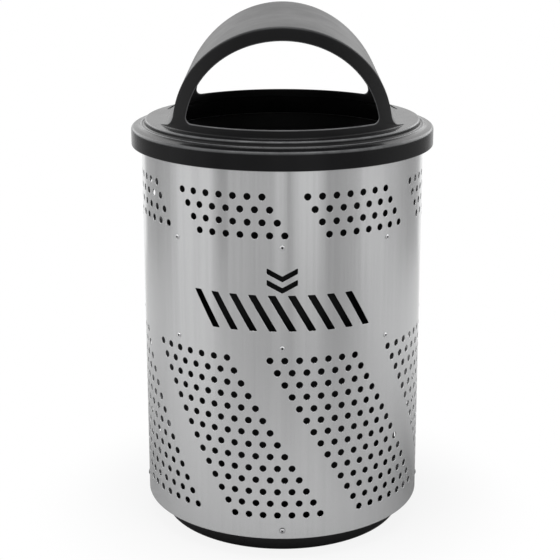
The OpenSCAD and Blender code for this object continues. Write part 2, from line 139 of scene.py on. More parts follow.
# Grain of the body's sheet as (features for each metre across, features for each metre up, detail)
FINE_GRAIN = (2400.0, 10.0, 3.0)
BROAD_GRAIN = (130.0, 1.1, 2.0)
FINE_TONES = [(0.30, (0.625, 0.629, 0.634)), (0.70, (0.655, 0.658, 0.663))]
BROAD_TONES = [(0.36, 0.95), (0.64, 1.0)]
SHEET_CLOUDS = 7.0
CLOUD_SHARE = 0.6                # of the clouds beside the fine grain, in the sheet's roughness
SHEET_ROUGHNESS = [(0.5, 0.165), (1.0, 0.215)]
SEAM_W = 0.0035                  # half width of the ground weld seam at the back
SEAM_ROUGHNESS = 0.34
SPOT_TONE = 0.86                 # tone of plain steel's spots as a share of its colour
CLOUD_TONES = (0.82, 1.18)       # tones of the plastic's flow clouds as shares of its colour
FLOW_CLOUDS = 11.0
# Paler tone of the lid's marked edges and the size of its patches: painted edge highlight, patchy like
# rubbed wear
HIGHLIGHT_WEAR_TONE = (0.125, 0.127, 0.130)
HIGHLIGHT_WEAR_PATCHES = 34.0
PAN_BLACK = (0.004, 0.004, 0.0045)
LINER_BLACK = (0.004, 0.004, 0.0044)
LID_BLACK = (0.005, 0.005, 0.0054)
SMOOTH_SHARE = 0.56              # roughness of the lid's plate and rim as a share of the hood's
SMOOTH_RISE = 0.012              # height over which the one turns into the other


def link(tree, source, target):
    tree.links.new(source, target)


def node_material(name, **values):
    """A new material, its node tree and its principled shader, whose sockets get the values."""
    material = bpy.data.materials.new(name)
    material.use_nodes = True
    shader = material.node_tree.nodes["Principled BSDF"]
    for key, value in values.items():
        shader.inputs[key.replace("_", " ")].default_value = value
    return material, material.node_tree, shader


def coordinates(tree, kind):
    return tree.nodes.new("ShaderNodeTexCoord").outputs[kind]


def feed(tree, node, values):
    """Gives sockets of a node, by name or by place, a number, a colour or the output of another node."""
    for key, value in values.items():
        if isinstance(value, bpy.types.NodeSocket):
            link(tree, value, node.inputs[key])
        else:
            node.inputs[key].default_value = value


def calculated(tree, operation, *values):
    node = tree.nodes.new("ShaderNodeMath")
    node.operation = operation
    feed(tree, node, dict(enumerate(values)))
    return node.outputs[0]


def axes(tree, vector):
    """The outputs X, Y and Z of a vector."""
    split = tree.nodes.new("ShaderNodeSeparateXYZ")
    link(tree, vector, split.inputs[0])
    return split.outputs


def spread(tree, value, span, results=(0.0, 1.0), way="LINEAR"):
    """Turns a value within span into one within results, and holds it at their ends."""
    node = tree.nodes.new("ShaderNodeMapRange")
    node.interpolation_type = way
    feed(tree, node, dict(enumerate((value, *span, *results))))
    return node.outputs["Result"]


def blended(tree, share, first, second, way="MIX"):
    """A mix of two colours."""
    node = tree.nodes.new("ShaderNodeMix")
    node.data_type = "RGBA"
    node.blend_type = way
    feed(tree, node, {0: share, 6: first, 7: second})
    return node.outputs[2]


def between(tree, share, first, second):
    """A mix of two numbers."""
    node = tree.nodes.new("ShaderNodeMix")
    feed(tree, node, {0: share, 2: first, 3: second})
    return node.outputs[0]


def ramp(tree, source, stops):
    """A colour ramp fed by source; stops are (position, grey level or colour)."""
    node = tree.nodes.new("ShaderNodeValToRGB")
    elements = node.color_ramp.elements
    while len(elements) < len(stops):
        elements.new(0.5)
    for element, (place, level) in zip(elements, stops):
        element.position = place
        colour = level if hasattr(level, "__len__") else (level, level, level)
        element.color = (*colour, 1.0)
    link(tree, source, node.inputs["Fac"])
    return node.outputs["Color"]


def noise(tree, vector, scale, detail, roughness=0.6):
    node = tree.nodes.new("ShaderNodeTexNoise")
    feed(tree, node, {"Vector": vector, "Scale": scale, "Detail": detail, "Roughness": roughness})
    return node.outputs["Fac"]


def bump(tree, shader, height, strength, distance):
    node = tree.nodes.new("ShaderNodeBump")
    feed(tree, node, {"Height": height, "Strength": strength, "Distance": distance})
    link(tree, node.outputs["Normal"], shader.inputs["Normal"])


def brushed_sheet():
    """Satin stainless sheet with a fine upright grain; its UV map is in metres along the sheet."""
    material, tree, shader = node_material(
        "brushed_stainless_sheet", Metallic=1.0, Anisotropic=0.85, Anisotropic_Rotation=0.25
    )
    tangent = tree.nodes.new("ShaderNodeTangent")
    tangent.direction_type = "RADIAL"
    tangent.axis = "Z"
    link(tree, tangent.outputs["Tangent"], shader.inputs["Tangent"])
    place = coordinates(tree, "UV")

    def streaks(across, along, detail):
        stretch = tree.nodes.new("ShaderNodeMapping")
        feed(tree, stretch, {"Vector": place, "Scale": (across, along, 1.0)})
        return noise(tree, stretch.outputs["Vector"], 1.0, detail)

    grain, bands = streaks(*FINE_GRAIN), streaks(*BROAD_GRAIN)
    tint = blended(tree, 1.0, ramp(tree, grain, FINE_TONES), ramp(tree, bands, BROAD_TONES), "MULTIPLY")
    cloud = noise(tree, place, SHEET_CLOUDS, 4.0, 0.55)
    rough = ramp(tree, calculated(tree, "MULTIPLY_ADD", cloud, CLOUD_SHARE, grain), SHEET_ROUGHNESS)
    from_front = calculated(tree, "ABSOLUTE", axes(tree, place)["X"])
    back = math.pi * BODY_R
    seam = spread(tree, from_front, (back - SEAM_W, back - SEAM_W / 3))
    feed(tree, shader, {"Base Color": tint, "Roughness": between(tree, seam, rough, SEAM_ROUGHNESS)})
    bump(tree, shader, bands, strength=0.08, distance=0.0003)
    return material


def plain_steel(name, colour, roughness, spots):
    """Mill finished or bright steel with soft spots."""
    material, tree, shader = node_material(name, Metallic=1.0)
    level = noise(tree, coordinates(tree, "Object"), spots, 4.0)
    shades = [(0.35, [c * SPOT_TONE for c in colour]), (0.65, colour)]
    rough = ramp(tree, level, [(0.3, roughness + 0.08), (0.7, roughness - 0.05)])
    feed(tree, shader, {"Base Color": ramp(tree, level, shades), "Roughness": rough})
    bump(tree, shader, level, strength=0.15, distance=0.0002)
    return material


def black_plastic(name, colour, roughness, gloss, grain_size, depth, highlight_wear_tone=None, smooth_below=None):
    """Moulded black plastic with a fine spark texture and faint flow clouds.

    Marked edges get the paler tone given for them, a painted edge highlight that is patchy like rubbed
    wear; the moulding is smoother below the height smooth_below.
    """
    material, tree, shader = node_material(name, Specular_IOR_Level=gloss)
    place = coordinates(tree, "Object")
    cloud = noise(tree, place, FLOW_CLOUDS, 5.0)
    dark, pale = ([c * share for c in colour] for share in CLOUD_TONES)
    tone = ramp(tree, cloud, [(0.3, dark), (0.7, pale)])
    # Painted edge highlight: the marked edges turn to the paler tone, in patches like rubbed wear
    if highlight_wear_tone:
        edge = tree.nodes.new("ShaderNodeAttribute")
        edge.attribute_name = "highlight_wear"
        patches = ramp(tree, noise(tree, place, HIGHLIGHT_WEAR_PATCHES, 5.0), [(0.3, 0.55), (0.6, 1.0)])
        amount = calculated(tree, "MULTIPLY", edge.outputs["Fac"], patches)
        tone = blended(tree, amount, tone, (*highlight_wear_tone, 1.0))
    rough = ramp(tree, cloud, [(0.3, roughness - 0.04), (0.7, roughness + 0.04)])
    if smooth_below:
        span = (smooth_below, smooth_below + SMOOTH_RISE)
        texture = spread(tree, axes(tree, place)["Z"], span, (SMOOTH_SHARE, 1.0))
        rough = calculated(tree, "MULTIPLY", rough, texture)
    feed(tree, shader, {"Base Color": tone, "Roughness": rough})
    bump(tree, shader, noise(tree, place, 1.0 / grain_size, 2.0, 0.5), strength=0.35, distance=depth)
    return material


# Meshes

def on_body(angle, z, radius):
    """A point at a turn from the front, a height and a radius."""
    return (radius * math.sin(angle), -radius * math.cos(angle), z)


def placed(name, data):
    """A new object in the scene."""
    thing = bpy.data.objects.new(name, data)
    bpy.context.scene.collection.objects.link(thing)
    return thing


def mesh_of(name, points, faces, material):
    mesh = bpy.data.meshes.new(name)
    mesh.from_pydata(points, [], faces)
    mesh.materials.append(material)
    return mesh


def closed_edges(start, count):
    """Edges of a closed outline of vertices that follow each other from start."""
    return [(start + k, start + (k + 1) % count) for k in range(count)]


def band(ring, next_ring):
    """Quads between two closed rings."""
    return list(zip(ring, ring[1:] + ring[:1], next_ring[1:] + next_ring[:1], next_ring))


def distinct(corners):
    """The corners of a face without those that come twice."""
    return tuple(dict.fromkeys(corners))


def make_piece(name, points, faces, material, body, replaced):
    """A smooth piece of the object that takes the place of the node replaced."""
    mesh = mesh_of(name, points, faces, material)
    mesh.validate()
    mesh.polygons.foreach_set("use_smooth", [True] * len(mesh.polygons))
    piece = placed(name, mesh)
    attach(piece, body)
    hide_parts(replaced)
    return piece


class Sheet:
    """The body's sheet, laid out flat as (length along the sheet, height) and rolled to a tube.

    Outer and inner skins share their faces. Each cut has a loop on both skins, with a rounded edge between.
    """

    def __init__(self):
        self.outer = []
        self.inner = []
        self.faces = []
        self.loops = []
        self.grid = {}

    def grid_point(self, column, z):
        """The vertex on a mesh column at a height."""
        column %= COLUMNS
        key = (column, round(z * 1e6))
        if key not in self.grid:
            self.grid[key] = len(self.outer)
            self.outer.append((column / QUARTERS, z))
            self.inner.append((column / QUARTERS, z))
        return self.grid[key]

    def loop(self, points, into_metal):
        """Adds a cut's loop. Points are (place, height); into_metal are unit vectors away from the cut."""
        start = len(self.outer)
        for (place, z), (along, up) in zip(points, into_metal):
            wide = EDGE_R / HALF_PLACE
            self.outer.append((place + along * wide, z + up * EDGE_R))
            self.inner.append((place, z))
        ids = list(range(start, start + len(points)))
        self.loops.append((ids, points, into_metal))
        return ids


def circle_loop(place, z, radius, count):
    """Points and outward vectors of a round hole, from its lower left corner, against the clock."""
    points, away = [], []
    for k in range(count):
        angle = -0.75 * math.pi + math.tau * k / count
        along, up = math.cos(angle), math.sin(angle)
        points.append((place + radius * along / HALF_PLACE, z + radius * up))
        away.append((along, up))
    return points, away


def hole_cell(sheet, row, place):
    """One cell of the perforation with its hole."""
    z = FIRST_ROW_Z - row * ROW_H
    side = 2 * QUARTERS
    low, left = z - ROW_H / 2, (place - 1) * QUARTERS
    border = [sheet.grid_point(left + k, low) for k in range(side)]
    border += [sheet.grid_point(left + side, low + k * ROW_H / side) for k in range(side)]
    border += [sheet.grid_point(left + side - k, low + ROW_H) for k in range(side)]
    border += [sheet.grid_point(left, low + ROW_H - k * ROW_H / side) for k in range(side)]
    sheet.faces += band(border, sheet.loop(*circle_loop(place, z, HOLE_R, len(border))))


def plain_cells(sheet, first, last, levels):
    """Plain quads from one mesh column to another, between the heights in levels."""
    for column in range(first, last):
        for low, high in zip(levels, levels[1:]):
            sheet.faces.append((
                sheet.grid_point(column, low), sheet.grid_point(column + 1, low),
                sheet.grid_point(column + 1, high), sheet.grid_point(column, high)
            ))


def spaced(low, high, count):
    return [low + (high - low) * k / count for k in range(count + 1)]


def rounded_outline(corners, radius, step):
    """Closed outline with its corners rounded and its sides cut into steps, and its outward vectors."""
    points, away = [], []
    count = len(corners)
    for k in range(count):
        before, here, after = (Vector(corners[(k + d) % count]) for d in (-1, 0, 1))
        back, ahead = (before - here).normalized(), (after - here).normalized()
        half = back.angle(ahead) / 2
        reach = radius / math.tan(half)
        centre = here + (back + ahead).normalized() * (radius / math.sin(half))
        start, end = here + back * reach, here + ahead * reach
        turn = math.pi - 2 * half
        bend = back.x * ahead.y - back.y * ahead.x
        sign = -1.0 if bend > 0 else 1.0
        first = start - centre
        for j in range(CORNER_STEPS + 1):
            spin = turn * j / CORNER_STEPS * sign
            spoke = Vector((first.x * math.cos(spin) - first.y * math.sin(spin),
                            first.x * math.sin(spin) + first.y * math.cos(spin)))
            points.append(centre + spoke)
            away.append(spoke.normalized() * sign)
        next_back = (here - after).normalized()
        following = Vector(corners[(k + 2) % count]) - after
        next_half = next_back.angle(following.normalized()) / 2
        finish = after + next_back * (radius / math.tan(next_half))
        pieces = max(1, round((finish - end).length / step))
        for j in range(1, pieces):
            points.append(end.lerp(finish, j / pieces))
            away.append(away[-1])
    return points, away


def slot_corners(turn):
    """Corners of one slanted slot in (length along the sheet, height), against the clock."""
    lean = SLOT_H / 2 * math.tan(SLOT_LEAN)
    middle = turn * BODY_R
    low, high = SLOT_Z - SLOT_H / 2, SLOT_Z + SLOT_H / 2
    return [
        (middle + lean - SLOT_W / 2, low), (middle + lean + SLOT_W / 2, low),
        (middle - lean + SLOT_W / 2, high), (middle - lean - SLOT_W / 2, high)
    ]


def chevron_corners(step):
    half = CHEVRON_W / 2
    tip = CHEVRON_Z - step * CHEVRON_STEP
    top = tip + half * CHEVRON_FALL
    return [
        (0.0, tip - CHEVRON_T), (half, top - CHEVRON_T), (half, top),
        (0.0, tip), (-half, top), (-half, top - CHEVRON_T)
    ]


def inside(point, outline):
    """True if the point lies in the closed outline."""
    x, y = point
    found = False
    for k, (x1, y1) in enumerate(outline):
        x2, y2 = outline[k - 1]
        if (y1 > y) != (y2 > y) and x < (x2 - x1) * (y - y1) / (y2 - y1) + x1:
            found = not found
    return found


def cut_out_panel(sheet, first, last, levels):
    """The front of the plain zone: a triangulated panel with the slots and the chevrons cut out."""
    front_place = -FIRST_HOLE_TURN / HALF_TURN
    outlines = [slot_corners((k - (SLOT_COUNT - 1) / 2) * SLOT_TURN) for k in range(SLOT_COUNT)]
    outlines += [chevron_corners(k) for k in range(2)]
    ids, flat, edges, holes = [], [], [], []
    for corners in outlines:
        points, away = rounded_outline(corners, CORNER_R, OUTLINE_STEP)
        ids += sheet.loop([(p.x / HALF_PLACE + front_place, p.y) for p in points], away)
        grown = [(p.x + a.x * EDGE_R, p.y + a.y * EDGE_R) for p, a in zip(points, away)]
        edges += closed_edges(len(flat), len(grown))
        flat += [Vector(p) for p in grown]
        holes.append(grown)
    border = [(c, levels[0]) for c in range(first, last)]
    border += [(last, z) for z in levels[:-1]]
    border += [(c, levels[-1]) for c in range(last, first, -1)]
    border += [(first, z) for z in reversed(levels[1:])]
    edges += closed_edges(len(flat), len(border))
    for column, z in border:
        ids.append(sheet.grid_point(column, z))
        flat.append(Vector(((column / QUARTERS - front_place) * HALF_PLACE, z)))
    beside = [(0, 0), (PANEL_MARGIN, 0), (0, PANEL_MARGIN), (-PANEL_MARGIN, 0), (0, -PANEL_MARGIN)]
    for column in range(first + 1, last):
        for z in levels[1:-1]:
            x = (column / QUARTERS - front_place) * HALF_PLACE
            around = [(x + dx, z + dz) for dx, dz in beside]
            if not any(inside(p, outline) for outline in holes for p in around):
                ids.append(sheet.grid_point(column, z))
                flat.append(Vector((x, z)))
    result = delaunay_2d_cdt(flat, edges, [], 0, 1e-7)
    where, _, triangles, origins = result[:4]
    for triangle in triangles:
        middle = [sum(where[v][axis] for v in triangle) / 3 for axis in (0, 1)]
        if not any(inside(middle, outline) for outline in holes):
            sheet.faces.append(tuple(ids[origins[v][0]] for v in triangle))


def body_sheet(material):
    """The perforated body: holes, slots and chevrons with rounded edges, on a true cylinder."""
    sheet = Sheet()
    low_edge, high_edge = BODY_BOTTOM + EDGE_R, BODY_TOP - EDGE_R
    top_z = FIRST_ROW_Z + ROW_H / 2
    foot_z = FIRST_ROW_Z - (ROWS - 0.5) * ROW_H
    plain_cells(sheet, 0, COLUMNS, spaced(top_z, high_edge, TOP_BANDS))
    plain_cells(sheet, 0, COLUMNS, spaced(low_edge, foot_z, FOOT_BANDS))
    for row in [*range(UPPER_ROWS), *range(UPPER_ROWS + PLAIN_ROWS, ROWS)]:
        z = FIRST_ROW_Z - row * ROW_H
        row_levels = spaced(z - ROW_H / 2, z + ROW_H / 2, 2 * QUARTERS)
        for k in range(TURN_PLACES):
            place = 2 * k + row
            if k % BAND_PLACES < BAND_HOLES:
                hole_cell(sheet, row, place)
            else:
                first = (place - 1) * QUARTERS
                plain_cells(sheet, first, first + 2 * QUARTERS, row_levels)
    plain_top = FIRST_ROW_Z - (UPPER_ROWS - 0.5) * ROW_H
    plain_foot = FIRST_ROW_Z - (UPPER_ROWS + PLAIN_ROWS - 0.5) * ROW_H
    levels = spaced(plain_foot, plain_top, 2 * PLAIN_ROWS)
    panel_first, panel_last = (place * QUARTERS for place in PANEL_PLACES)
    plain_cells(sheet, panel_last, COLUMNS + panel_first, levels)
    cut_out_panel(sheet, panel_first, panel_last, levels)
    for z, edge_z, up in ((high_edge, BODY_TOP, 1), (low_edge, BODY_BOTTOM, -1)):
        columns = range(COLUMNS)[::up]
        ids = [sheet.grid_point(column, z) for column in columns]
        points = [(column / QUARTERS, edge_z) for column in columns]
        for vertex, point in zip(ids, points):
            sheet.inner[vertex] = point
        sheet.loops.append((ids, points, [(0.0, -up)] * COLUMNS))
    roll_sheet(sheet, material)


def roll_sheet(sheet, material):
    """Rolls the flat sheet to a tube with both skins and all edges, with exact normals."""
    points, faces, normals, flat_uv = [], [], [], []

    def turned(place):
        return FIRST_HOLE_TURN + place * HALF_TURN

    def add_point(place, z, depth):
        points.append(on_body(turned(place), z, BODY_R - depth))
        return len(points) - 1

    def direction(place, out, along, up):
        angle = turned(place)
        across, ahead = math.cos(angle), math.sin(angle)
        return Vector((across * along + ahead * out, ahead * along - across * out, up)).normalized()

    count = len(sheet.outer)
    for place, z in sheet.outer:
        add_point(place, z, 0.0)
    for place, z in sheet.inner:
        add_point(place, z, SHEET_T)
    for face in sheet.faces:
        faces.append(face)
        normals += [direction(sheet.outer[v][0], 1, 0, 0) for v in face]
        faces.append(tuple(v + count for v in reversed(face)))
        normals += [direction(sheet.inner[v][0], -1, 0, 0) for v in reversed(face)]
    slant = math.sqrt(0.5)
    for ids, base, away in sheet.loops:
        rings = [ids]
        turns = [[direction(p[0], 1, 0, 0) for p in base]]
        for back, depth, out in ((1 - slant, 1 - slant, slant), (0.0, 1.0, 0.0)):
            ring, side = [], []
            for (place, z), (along, up) in zip(base, away):
                wide = back * EDGE_R / HALF_PLACE
                ring.append(add_point(place + along * wide, z + up * back * EDGE_R, depth * EDGE_R))
                rest = math.sqrt(1 - out * out)
                side.append(direction(place, out, -along * rest, -up * rest))
            rings.append(ring)
            turns.append(side)
        rings.append([v + count for v in ids])
        turns.append(turns[-1])
        for ring, next_ring in zip(rings, rings[1:]):
            faces += band(ring, next_ring)
        for side, next_side in zip(turns, turns[1:]):
            normals += [normal for quad in band(side, next_side) for normal in quad]
    piece = make_piece("perforated_body", points, faces, material, "can", "body_shell")
    mesh = piece.data
    mesh.normals_split_custom_set([tuple(n) for n in normals])
    layer = mesh.uv_layers.new(name="sheet")
    for face in mesh.polygons:
        middle = math.atan2(face.center.x, -face.center.y)
        for vertex in face.vertices:
            x, y, z = mesh.vertices[vertex].co
            away = math.remainder(math.atan2(x, -y) - middle, math.tau)
            flat_uv += [(middle + away) * BODY_R, z]
    layer.data.foreach_set("uv", flat_uv)


def arc(centre, radius, start, end, count):
    """Points on an arc; the angles are in degrees."""
    angles = [math.radians(start + (end - start) * k / count) for k in range(count + 1)]
    return [(centre[0] + radius * math.cos(a), centre[1] + radius * math.sin(a)) for a in angles]


def highlight_wear_arc(centre, radius, start, end, count, highlight_wear):
    """An arc whose points also carry their share of painted edge highlight and rubbed wear, up to the given
    share in the middle.
    """
    points = arc(centre, radius, start, end, count)
    return [(*point, highlight_wear * math.sin(math.pi * k / count)) for k, point in enumerate(points)]


# Lid

FILLET_Z = RING_Z + FILLET_R
FILLET_X = math.sqrt((ARCH_R + FILLET_R) ** 2 - (FILLET_Z - ARCH_Z) ** 2)
JOIN_ANGLE = math.degrees(math.atan2(FILLET_Z - ARCH_Z, FILLET_X))
SECTION_STEPS = 132
FILLET_STEPS = 14
SIDE_STEPS = 26
FRONT_STEPS = 96
SILL_CORNER_STEPS = 5
FACE_RINGS = 5
HOOD_EDGE_R = 0.0045
HOOD_FOOT_R = 0.0030
LIP_R = 0.0022
ROUND_STEPS = 5
LEAST_R = 1e-5           # an edge with a smaller rounding is left sharp
SIDES = (-1, 1)
# Shares of painted edge highlight with rubbed wear on the hood's edges, the ring and its bead, and the
# skirt
HOOD_HIGHLIGHT_WEAR, RING_HIGHLIGHT_WEAR, SKIRT_HIGHLIGHT_WEAR = 0.18, 0.8, 0.6
INNER_EDGE_R = 0.001
INNER_BEVEL = 0.002
EDGE_SHARE = 0.35        # most that an edge's rounding takes of its height above the plate
FOOT_GROWTH = 5          # how fast the foot's rounding grows from its ends
RING_FLAT = 0.006        # flat width beside the ring's rounded edge
FLANGE_BREAK = (0.008, 0.0014)   # where the flange starts, outwards from the bead and up
SKIRT_CUTS = (0.020, 0.003)      # heights on the skirt at which its mesh is cut
# Points of the groove between the ring and its bead, outwards and upwards from the ring's foot
GROOVE = [(0.0, 0.0025), (0.0007, 0.0006), (0.0022, -0.0002)]
SKIRT_LIP_R = 0.0015
SPIGOT_SIDES = 160
LID_SHARP = math.radians(42)


def mirrored(points):
    return [(-x, z) for x, z in reversed(points)]


def hood_outline(inset):
    """The hood's section from left foot over the arch to right foot, as (x, z), with outward vectors."""
    fillet, arch = FILLET_R + inset, ARCH_R - inset
    left = arc((-FILLET_X, FILLET_Z), fillet, -90, -JOIN_ANGLE, FILLET_STEPS)
    over = arc((0, ARCH_Z), arch, 180 - JOIN_ANGLE, JOIN_ANGLE, SECTION_STEPS - 2 * FILLET_STEPS)
    left_away = [((-FILLET_X - x) / fillet, (FILLET_Z - z) / fillet) for x, z in left]
    over_away = [(x / arch, (z - ARCH_Z) / arch) for x, z in over]
    return left + over[1:-1] + mirrored(left), left_away + over_away[1:-1] + mirrored(left_away)


def opening_outline():
    """The opening's outline beside the hood's end face, point for point: arch first, then the sill.

    The outward vectors point away from the opening.
    """
    corner_z = SILL_Z + SILL_CORNER_R
    corner_x = math.sqrt((OPENING_R - SILL_CORNER_R) ** 2 - (corner_z - ARCH_Z) ** 2)
    lift = math.degrees(math.atan2(corner_z - ARCH_Z, corner_x))
    half_fillet = FILLET_STEPS // 2
    left = arc((-corner_x, corner_z), SILL_CORNER_R, 225, 180 - lift, half_fillet)
    over = arc((0, ARCH_Z), OPENING_R, 180 - lift, lift, SECTION_STEPS - 2 * half_fillet)
    low = arc((corner_x, corner_z), SILL_CORNER_R, -45, -90, SILL_CORNER_STEPS)
    sill_steps = FRONT_STEPS - 2 * SILL_CORNER_STEPS
    points = left + over[1:-1] + mirrored(left) + low[1:-1]
    points += [(corner_x - 2 * corner_x * k / sill_steps, SILL_Z) for k in range(sill_steps + 1)]
    points += mirrored(low[1:-1])
    away = []
    for x, z in points:
        if z > corner_z and math.hypot(x, z - ARCH_Z) > OPENING_R - 1e-6:
            spoke = Vector((x, z - ARCH_Z))
        elif abs(x) > corner_x:
            spoke = Vector((x - math.copysign(corner_x, x), z - corner_z))
        else:
            spoke = Vector((0.0, -1.0))
        away.append(tuple(spoke.normalized()))
    return points, away


def lid_rim_profile():
    """The lid's rim as (radius, height, share of painted edge highlight and rubbed wear): from the hood
    out, down the skirt and back in below.
    """
    inner_r = SKIRT_R - LID_WALL
    bow_r = RING_R - LID_WALL
    ring, edge, lip = RING_EDGE_R, SKIRT_EDGE_R, SKIRT_LIP_R

    def plain(*points):
        return [(*point, 0.0) for point in points]

    profile = plain((RING_R - ring - RING_FLAT, RING_Z))
    profile += highlight_wear_arc((RING_R - ring, RING_Z - ring), ring, 90, 0, 8, RING_HIGHLIGHT_WEAR)
    profile += plain(*((RING_R + out, RING_FOOT_Z + up) for out, up in GROOVE))
    profile += highlight_wear_arc((BEAD_CENTRE_R, BEAD_CENTRE_Z), BEAD_R, 160, 20, 8, RING_HIGHLIGHT_WEAR)
    profile += plain((BEAD_CENTRE_R + FLANGE_BREAK[0], FLANGE_Z + FLANGE_BREAK[1]))
    profile += highlight_wear_arc((SKIRT_R - edge, FLANGE_Z - edge), edge, 80, 0, 8, SKIRT_HIGHLIGHT_WEAR)
    profile += plain(*((SKIRT_R, SKIRT_Z + up) for up in SKIRT_CUTS))
    profile += highlight_wear_arc((SKIRT_R - lip, SKIRT_Z + lip), lip, 0, -90, 3, SKIRT_HIGHLIGHT_WEAR)
    profile += plain((inner_r + lip, SKIRT_Z), (inner_r, SKIRT_Z + lip), (inner_r, SKIRT_Z + 0.012))
    profile += plain((inner_r, LID_SEAT_Z - INNER_BEVEL), (inner_r - INNER_BEVEL, LID_SEAT_Z))
    profile += plain((bow_r + INNER_EDGE_R, LID_SEAT_Z), (bow_r, LID_SEAT_Z + INNER_EDGE_R))
    profile += plain((bow_r, RING_Z - LID_WALL - INNER_BEVEL), (bow_r - INNER_BEVEL, RING_Z - LID_WALL))
    return profile


class LidMesh:
    """Collects the lid's points and faces."""

    def __init__(self):
        self.points = []
        self.faces = []
        self.highlight_wear = []

    def add(self, x, y, z, highlight_wear=0.0):
        self.points.append((x, y, z))
        self.highlight_wear.append(highlight_wear)
        return len(self.points) - 1

    def strip(self, ring, next_ring, closed=True):
        """Quads between two rings of vertices; corners that share a vertex are dropped."""
        quads = band(ring, next_ring)
        for corners in map(distinct, quads if closed else quads[:-1]):
            if len(corners) > 2:
                self.faces.append(corners)

    def strips(self, rows):
        for row, next_row in zip(rows, rows[1:]):
            self.strip(row, next_row, closed=False)

    def hood_edge(self, x, z, out, side, edge_r, hood_r):
        """Vertices of the rounded edge between the vault and an end face, from the vault to the face."""
        cx, cz = x - edge_r * out[0], z - edge_r * out[1]
        cy = side * math.sqrt((hood_r - edge_r) ** 2 - cx * cx)
        vault_way = Vector((out[0], 0.0, out[1]))
        face_way = Vector((cx, cy, 0.0)).normalized()
        centre = Vector((cx, cy, cz))
        ring = []
        for k in range(ROUND_STEPS + 1):
            way = vault_way.slerp(face_way, k / ROUND_STEPS)
            # The middle of the rounding gets the most painted edge highlight with rubbed wear
            ring.append(self.add(*(centre + way * edge_r), HOOD_HIGHLIGHT_WEAR * math.sin(math.pi * k / ROUND_STEPS)))
        return ring

    def vault(self, inset, hood_r, plate_z, edge_r):
        """The arched vault. Returns its rows and the rounded edges at both ends."""
        rows, edges = [], {-1: [], 1: []}
        for (x, z), out in zip(*hood_outline(inset)):
            radius = min(edge_r, EDGE_SHARE * (z - plate_z))
            if radius > LEAST_R:
                for side in SIDES:
                    edges[side].append(self.hood_edge(x, z, out, side, radius, hood_r))
                start, end = edges[-1][-1][0], edges[1][-1][0]
            else:
                reach = math.sqrt(hood_r ** 2 - x * x)
                start, end = self.add(x, -reach, z), self.add(x, reach, z)
                edges[-1].append([start] * (ROUND_STEPS + 1))
                edges[1].append([end] * (ROUND_STEPS + 1))
            ys = spaced(self.points[start][1], self.points[end][1], SIDE_STEPS)
            rows.append([start, *(self.add(x, y, z) for y in ys[1:-1]), end])
        self.strips(rows)
        return rows, edges

    def foot(self, side, border, half_face, hood_r, plate_z, foot_r):
        """Rows of the rounding between an end face and the plate, from the border's end to its start."""
        rows = [[border[-1]] * (ROUND_STEPS + 1)]
        for k in range(1, FRONT_STEPS):
            turn = half_face - 2 * half_face * k / FRONT_STEPS
            share = 1 - abs(1 - 2 * k / FRONT_STEPS)
            radius = foot_r * min(1.0, FOOT_GROWTH * share)
            row = []
            for j in range(ROUND_STEPS + 1):
                a = math.pi / 2 * j / ROUND_STEPS
                r, z = hood_r + radius * (1 - math.cos(a)), plate_z + radius * (1 - math.sin(a))
                row.append(self.add(r * math.sin(turn), side * r * math.cos(turn), z))
            rows.append(row)
        rows.append([border[0]] * (ROUND_STEPS + 1))
        self.strips(rows)
        return rows

    def end_face(self, side, border, hood_r):
        """A curved end face, from its border in to the opening. Returns the opening's loop."""
        opening, away = opening_outline()
        previous = border
        for j in range(1, FACE_RINGS + 1):
            share = j / FACE_RINGS
            ring = []
            for vertex, (x, z), (ax, az) in zip(border, opening, away):
                fx = self.points[vertex][0] * (1 - share) + (x + ax * LIP_R) * share
                fz = self.points[vertex][2] * (1 - share) + (z + az * LIP_R) * share
                ring.append(self.add(fx, side * math.sqrt(hood_r ** 2 - fx * fx), fz))
            self.strip(previous, ring)
            previous = ring
        return previous

    def side_plate(self, hand, chord, half_face, hood_r, plate_z):
        """The plate between the vault's foot and the hood's round. Returns its outer row."""
        half_side = math.pi / 2 - half_face
        bow = [chord[0]]
        for turn in spaced(-half_side, half_side, SIDE_STEPS)[1:-1]:
            bow.append(self.add(hand * hood_r * math.cos(turn), hand * hood_r * math.sin(turn), plate_z))
        bow.append(chord[-1])
        self.strip(chord, bow, closed=False)
        return bow

    def skin(self, inset, edge_r, foot_r):
        """One skin of the hood and of the plate beside it. Returns its opening loops and outer circle."""
        hood_r, plate_z = HOOD_R - inset, RING_Z - inset
        vault, edges = self.vault(inset, hood_r, plate_z, edge_r)
        half_face = math.asin(FILLET_X / hood_r)
        loops, feet = {}, {}
        for side in SIDES:
            self.strips(edges[side])
            border = [row[-1] for row in edges[side]]
            rows = self.foot(side, border, half_face, hood_r, plate_z, foot_r)
            feet[side] = [row[-1] for row in rows]
            loops[side] = self.end_face(side, border[:-1] + [row[0] for row in rows[:-1]], hood_r)
        right = self.side_plate(1, vault[-1], half_face, hood_r, plate_z)
        left = self.side_plate(-1, vault[0][::-1], half_face, hood_r, plate_z)
        return loops, feet[-1][:0:-1] + right[:-1] + feet[1][:-1] + left[:-1]

    def lip(self, side, outer, inner):
        """The rounded lip of an opening, from the outer skin's loop to the inner skin's."""
        opening, away = opening_outline()
        previous = outer
        rounds = [(k, False) for k in range(1, ROUND_STEPS + 1)]
        rounds += [(k, True) for k in range(ROUND_STEPS - 1, 0, -1)]
        for k, within in rounds:
            angle = math.pi / 2 * k / ROUND_STEPS
            back, depth = LIP_R * (1 - math.sin(angle)), LIP_R * (1 - math.cos(angle))
            if within:
                depth = LID_WALL - depth
            ring = []
            for (x, z), (ax, az) in zip(opening, away):
                px, pz = x + ax * back, z + az * back
                deep = math.sqrt((HOOD_R - depth) ** 2 - px * px)
